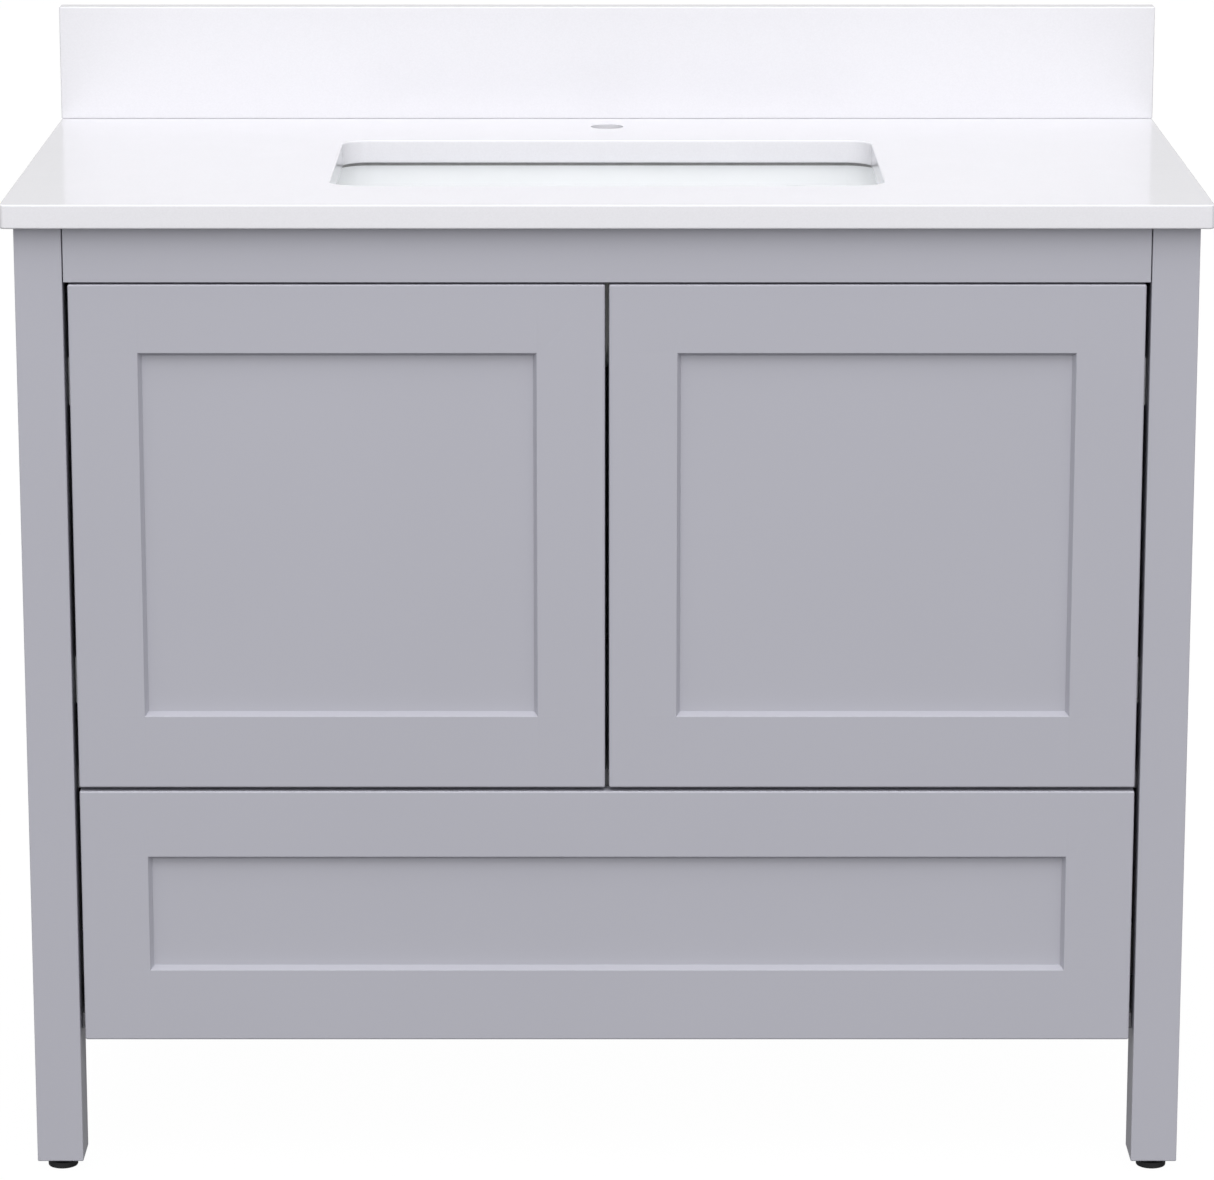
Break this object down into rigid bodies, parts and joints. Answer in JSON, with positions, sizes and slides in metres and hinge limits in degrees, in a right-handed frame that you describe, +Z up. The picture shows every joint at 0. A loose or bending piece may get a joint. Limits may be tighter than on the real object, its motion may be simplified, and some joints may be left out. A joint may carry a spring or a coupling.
{
  "type": "bathroom vanity cabinet",
  "caption": "Free-standing bathroom vanity with a stone top, splash and undermount basin, two inset framed doors and a wide framed drawer on a four-post frame.",
  "frame": {"origin": "on the floor, at the middle of the overall box in plan", "axes": "+X to the right seen from the front, +Y towards the wall, +Z up; the doors face -Y"},
  "size_m": [1.092, 0.559, 1.034],
  "materials": {
    "painted_wood": "satin cool light grey paint",
    "stone_top": "polished white engineered stone",
    "basin_glaze": "gloss white glaze",
    "carcass_board": "plain grey-faced board",
    "drawer_board": "clear-lacquered birch plywood",
    "zinc_hardware": "bright zinc",
    "latch_plastic": "moulded grey",
    "foot_rubber": "matt black"
  },
  "bodies": {
    "cabinet": {"countertop": "stone_top", "backsplash": "stone_top", "sink_basin": "basin_glaze", "sink_clip_front_left": "zinc_hardware", "sink_clip_front_right": "zinc_hardware", "sink_clip_rear_left": "zinc_hardware", "sink_clip_rear_right": "zinc_hardware", "front_left_post": "painted_wood", "front_right_post": "painted_wood", "rear_left_post": "painted_wood", "rear_right_post": "painted_wood", "apron": "painted_wood", "back_top_rail": "carcass_board", "back_panel": "carcass_board", "left_side_panel": "painted_wood", "right_side_panel": "painted_wood", "deck": "carcass_board", "bottom_panel": "carcass_board", "left_slide_cabinet_member": "zinc_hardware", "right_slide_cabinet_member": "zinc_hardware", "left_door_lower_hinge_arm": "zinc_hardware", "left_door_upper_hinge_arm": "zinc_hardware", "right_door_lower_hinge_arm": "zinc_hardware", "right_door_upper_hinge_arm": "zinc_hardware", "left_latch_body": "latch_plastic", "right_latch_body": "latch_plastic"},
    "left_door": {"left_door_left_stile": "painted_wood", "left_door_right_stile": "painted_wood", "left_door_top_rail": "painted_wood", "left_door_bottom_rail": "painted_wood", "left_door_panel": "painted_wood", "left_door_lower_hinge_cup": "zinc_hardware", "left_door_upper_hinge_cup": "zinc_hardware"},
    "right_door": {"right_door_left_stile": "painted_wood", "right_door_right_stile": "painted_wood", "right_door_top_rail": "painted_wood", "right_door_bottom_rail": "painted_wood", "right_door_panel": "painted_wood", "right_door_lower_hinge_cup": "zinc_hardware", "right_door_upper_hinge_cup": "zinc_hardware"},
    "drawer": {"drawer_front_left_stile": "painted_wood", "drawer_front_right_stile": "painted_wood", "drawer_front_top_rail": "painted_wood", "drawer_front_bottom_rail": "painted_wood", "drawer_front_panel": "painted_wood", "drawer_box_left_side": "drawer_board", "drawer_box_right_side": "drawer_board", "drawer_box_front": "drawer_board", "drawer_box_back": "drawer_board", "drawer_box_floor": "drawer_board", "left_slide_drawer_member": "zinc_hardware", "right_slide_drawer_member": "zinc_hardware"},
    "left_slide_carriage": {"left_slide_middle_member": "zinc_hardware"},
    "right_slide_carriage": {"right_slide_middle_member": "zinc_hardware"},
    "left_plunger": {"left_latch_plunger": "latch_plastic"},
    "right_plunger": {"right_latch_plunger": "latch_plastic"},
    "front_left_leveller": {"front_left_foot": "foot_rubber"},
    "front_right_leveller": {"front_right_foot": "foot_rubber"},
    "rear_left_leveller": {"rear_left_foot": "foot_rubber"},
    "rear_right_leveller": {"rear_right_foot": "foot_rubber"}
  },
  "joints": [
    {"name": "left_door_hinge", "type": "hinge", "parent": "cabinet", "child": "left_door", "pos_m": [-0.4729, -0.2543, 0.6], "axis": [0, 0, -1], "range_deg": [0, 105]},
    {"name": "right_door_hinge", "type": "hinge", "parent": "cabinet", "child": "right_door", "pos_m": [0.4729, -0.2543, 0.6], "axis": [0, 0, 1], "range_deg": [0, 105]},
    {"name": "drawer_slide", "type": "slide", "parent": "cabinet", "child": "drawer", "axis": [0, -1, 0], "range_m": [0, 0.43]},
    {"name": "left_carriage_slide", "type": "slide", "parent": "cabinet", "child": "left_slide_carriage", "axis": [0, -1, 0], "range_m": [0, 0.215]},
    {"name": "right_carriage_slide", "type": "slide", "parent": "cabinet", "child": "right_slide_carriage", "axis": [0, -1, 0], "range_m": [0, 0.215]},
    {"name": "left_plunger_press", "type": "slide", "parent": "cabinet", "child": "left_plunger", "axis": [0, 1, 0], "range_m": [0, 0.003], "stiffness_N_per_m": 150, "springref_m": -0.002},
    {"name": "right_plunger_press", "type": "slide", "parent": "cabinet", "child": "right_plunger", "axis": [0, 1, 0], "range_m": [0, 0.003], "stiffness_N_per_m": 150, "springref_m": -0.002},
    {"name": "front_left_foot_turn", "type": "hinge", "parent": "cabinet", "child": "front_left_leveller", "pos_m": [-0.5135, -0.2425, 0], "axis": [0, 0, 1], "continuous": true},
    {"name": "front_right_foot_turn", "type": "hinge", "parent": "cabinet", "child": "front_right_leveller", "pos_m": [0.5135, -0.2425, 0], "axis": [0, 0, 1], "continuous": true},
    {"name": "rear_left_foot_turn", "type": "hinge", "parent": "cabinet", "child": "rear_left_leveller", "pos_m": [-0.5135, 0.2525, 0], "axis": [0, 0, 1], "continuous": true},
    {"name": "rear_right_foot_turn", "type": "hinge", "parent": "cabinet", "child": "rear_right_leveller", "pos_m": [0.5135, 0.2525, 0], "axis": [0, 0, 1], "continuous": true}
  ],
  "couplings": [
    {"joint": "left_carriage_slide", "follows": "drawer_slide", "ratio": 0.5},
    {"joint": "right_carriage_slide", "follows": "drawer_slide", "ratio": 0.5}
  ]
}
